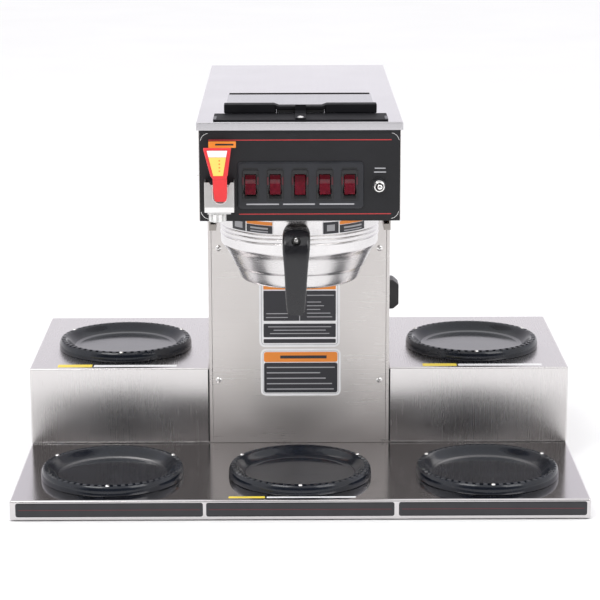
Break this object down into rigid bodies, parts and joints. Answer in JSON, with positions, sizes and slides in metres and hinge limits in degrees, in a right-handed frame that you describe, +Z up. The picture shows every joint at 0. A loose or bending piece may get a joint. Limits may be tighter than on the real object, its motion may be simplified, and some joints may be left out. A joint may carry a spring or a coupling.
{
  "type": "commercial coffee brewer",
  "caption": "Counter-top coffee brewer with a slide-out brewing funnel, rocker switches, hot water faucet, pour-in flap and stepped bottle warmers.",
  "frame": {"origin": "centre of the footprint at floor level", "axes": "+X to the machine's right as seen from the front, +Y to the back, +Z up"},
  "size_m": [0.597, 0.503, 0.4247],
  "materials": {
    "brushed_steel": "vertical and horizontal brushed grain",
    "lid_steel": "fine brushed grain",
    "hidden_steel": "plain mill finish",
    "polished_steel": "bright polished",
    "funnel_steel": "spun, softly polished",
    "black_panel": "satin black",
    "black_plastic": "moulded, fine texture",
    "handle_black": "moulded, semi-gloss",
    "warmer_enamel": "glossy black enamel",
    "rocker_red": "translucent dark red",
    "faucet_red": "bright red, moulded",
    "faucet_white": "white, moulded",
    "rubber": "matt black",
    "brass": "machined",
    "heater_sheath": "dull heat-tinted sheath"
  },
  "bodies": {
    "shell": {"base_deck": "brushed_steel", "left_step_box": "brushed_steel", "right_step_box": "brushed_steel", "side_panel_left": "brushed_steel", "side_panel_right": "brushed_steel", "rear_panel": "brushed_steel", "hood_floor": "brushed_steel", "trunk_front_cover": "brushed_steel", "funnel_rail_left": "brushed_steel", "funnel_rail_right": "brushed_steel", "top_cover": "lid_steel", "base_plate": "hidden_steel", "water_tank": "hidden_steel", "tank_lid": "hidden_steel", "start_switch_body": "polished_steel", "faucet_shield": "polished_steel", "control_panel": "black_panel", "switch_bezel": "black_plastic", "spray_head": "black_plastic", "pour_in_tray": "black_plastic", "flap_latch": "black_plastic", "power_gland": "black_plastic", "side_connector": "black_plastic", "warmer_ring_center": "warmer_enamel", "warmer_plate_center": "warmer_enamel", "warmer_element_center": "heater_sheath", "warmer_ring_front_left": "warmer_enamel", "warmer_plate_front_left": "warmer_enamel", "warmer_element_front_left": "heater_sheath", "warmer_ring_front_right": "warmer_enamel", "warmer_plate_front_right": "warmer_enamel", "warmer_element_front_right": "heater_sheath", "warmer_ring_rear_left": "warmer_enamel", "warmer_plate_rear_left": "warmer_enamel", "warmer_element_rear_left": "heater_sheath", "warmer_ring_rear_right": "warmer_enamel", "warmer_plate_rear_right": "warmer_enamel", "warmer_element_rear_right": "heater_sheath", "tank_heater": "heater_sheath", "faucet_body": "faucet_white", "faucet_spout": "faucet_white", "foot_front_left": "rubber", "foot_front_right": "rubber", "foot_rear_left": "rubber", "foot_rear_right": "rubber", "inlet_valve": "brass"},
    "funnel": {"brew_funnel": "funnel_steel", "funnel_handle": "handle_black"},
    "start_toggle": {"start_toggle": "polished_steel"},
    "faucet_handle": {"faucet_handle": "faucet_red"},
    "faucet_stem": {"faucet_stem": "polished_steel"},
    "pour_in_flap": {"pour_in_flap": "lid_steel", "flap_lip": "black_plastic"},
    "rocker_1": {"rocker_1": "rocker_red"},
    "rocker_2": {"rocker_2": "rocker_red"},
    "rocker_3": {"rocker_3": "rocker_red"},
    "rocker_4": {"rocker_4": "rocker_red"},
    "rocker_5": {"rocker_5": "rocker_red"}
  },
  "joints": [
    {"name": "funnel_slide", "type": "slide", "parent": "shell", "child": "funnel", "axis": [0, -1, 0], "range_m": [0, 0.19]},
    {"name": "start_toggle_hinge", "type": "hinge", "parent": "shell", "child": "start_toggle", "pos_m": [0.078, -0.227, 0.3514], "axis": [1, 0, 0], "range_deg": [0, 18], "stiffness_Nm_per_rad": 0.05, "springref_deg": -5.73},
    {"name": "faucet_handle_hinge", "type": "hinge", "parent": "shell", "child": "faucet_handle", "pos_m": [-0.0777, -0.2355, 0.3472], "axis": [1, 0, 0], "range_deg": [0, 20], "stiffness_Nm_per_rad": 0.5, "springref_deg": -5.73},
    {"name": "faucet_stem_lift", "type": "slide", "parent": "shell", "child": "faucet_stem", "axis": [0, 0, 1], "range_m": [0, 0.0014]},
    {"name": "flap_hinge", "type": "hinge", "parent": "shell", "child": "pour_in_flap", "pos_m": [0.001, -0.0309, 0.4151], "axis": [-1, 0, 0], "range_deg": [0, 95]},
    {"name": "rocker_1_hinge", "type": "hinge", "parent": "shell", "child": "rocker_1", "pos_m": [-0.0486, -0.2231, 0.3526], "axis": [1, 0, 0], "range_deg": [0, 16]},
    {"name": "rocker_2_hinge", "type": "hinge", "parent": "shell", "child": "rocker_2", "pos_m": [-0.0242, -0.2231, 0.3526], "axis": [1, 0, 0], "range_deg": [0, 16]},
    {"name": "rocker_3_hinge", "type": "hinge", "parent": "shell", "child": "rocker_3", "pos_m": [0.0002, -0.2231, 0.3526], "axis": [-1, 0, 0], "range_deg": [0, 16]},
    {"name": "rocker_4_hinge", "type": "hinge", "parent": "shell", "child": "rocker_4", "pos_m": [0.0246, -0.2231, 0.3526], "axis": [1, 0, 0], "range_deg": [0, 16]},
    {"name": "rocker_5_hinge", "type": "hinge", "parent": "shell", "child": "rocker_5", "pos_m": [0.049, -0.2231, 0.3526], "axis": [1, 0, 0], "range_deg": [0, 16]}
  ],
  "couplings": [
    {"joint": "faucet_stem_lift", "follows": "faucet_handle_hinge", "m_per_rad": 0.004}
  ]
}
